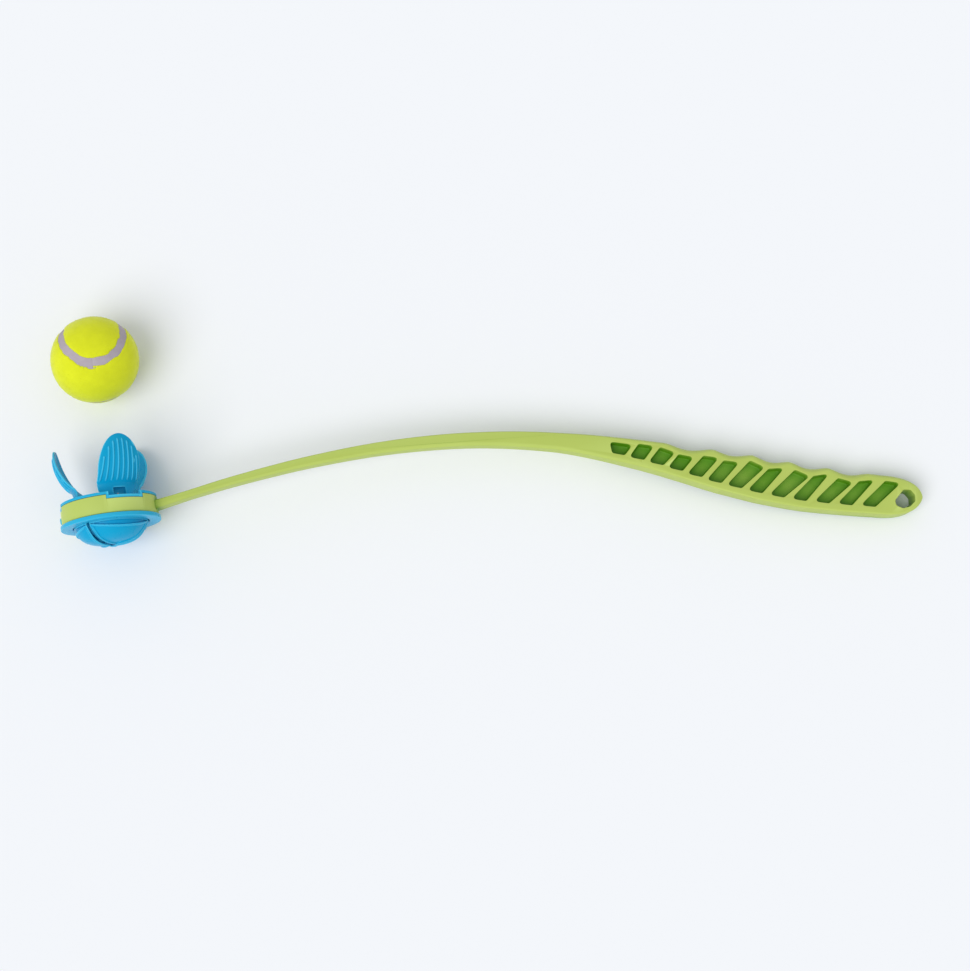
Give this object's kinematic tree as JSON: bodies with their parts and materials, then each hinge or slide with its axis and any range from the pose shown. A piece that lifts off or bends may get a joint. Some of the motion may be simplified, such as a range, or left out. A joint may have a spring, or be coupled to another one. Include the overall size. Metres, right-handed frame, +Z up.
{
  "type": "dog ball launcher",
  "caption": "Curved throwing handle with a head ring whose sprung claws grip a felt ball, lying on its side with the ball beside it.",
  "frame": {"origin": "on the ground under the middle of the whole set's box", "axes": "+X along the stick from the head ring to the handle's end, +Y from the launcher towards the ball, +Z up"},
  "size_m": [0.6382, 0.1706, 0.0709],
  "materials": {
    "green_moulding": "satin moulded",
    "blue_moulding": "semi-gloss moulded",
    "steel": "drawn wire",
    "ball_rubber": "moulded",
    "ball_felt": "napped felt",
    "ball_seam": "dull"
  },
  "bodies": {
    "launcher": {"launcher_body": "green_moulding", "claw_carrier": "blue_moulding", "top_retainer": "blue_moulding", "locking_stud": "blue_moulding", "left_claw_pin": "steel", "front_claw_pin": "steel", "rear_claw_pin": "steel", "left_claw_spring": "steel", "front_claw_spring": "steel", "rear_claw_spring": "steel"},
    "left_grip": {"left_claw": "blue_moulding"},
    "front_grip": {"front_claw": "blue_moulding"},
    "rear_grip": {"rear_claw": "blue_moulding"},
    "ball": {"ball_core_upper": "ball_rubber", "ball_core_lower": "ball_rubber", "ball_felt_a": "ball_felt", "ball_felt_b": "ball_felt", "ball_seam": "ball_seam"}
  },
  "joints": [
    {"name": "left_claw_hinge", "type": "hinge", "parent": "launcher", "child": "left_grip", "pos_m": [-0.29553, -0.05937, 0.03655], "axis": [0.0447, 0.0073, 0.999], "range_deg": [0, 5], "stiffness_Nm_per_rad": 0.15, "springref_deg": -20.05},
    {"name": "front_claw_hinge", "type": "hinge", "parent": "launcher", "child": "front_grip", "pos_m": [-0.25911, -0.05341, 0.05568], "axis": [0.8314, 0.1361, -0.5387], "range_deg": [0, 5], "stiffness_Nm_per_rad": 0.15, "springref_deg": -20.05},
    {"name": "rear_claw_hinge", "type": "hinge", "parent": "launcher", "child": "rear_grip", "pos_m": [-0.26097, -0.05371, 0.01416], "axis": [-0.8761, -0.1435, -0.4603], "range_deg": [0, 5], "stiffness_Nm_per_rad": 0.15, "springref_deg": -20.05},
    {"name": "ball_load", "type": "slide", "parent": "launcher", "child": "ball", "axis": [0.129, -0.9905, 0.0474], "range_m": [0, 0.0731]}
  ]
}
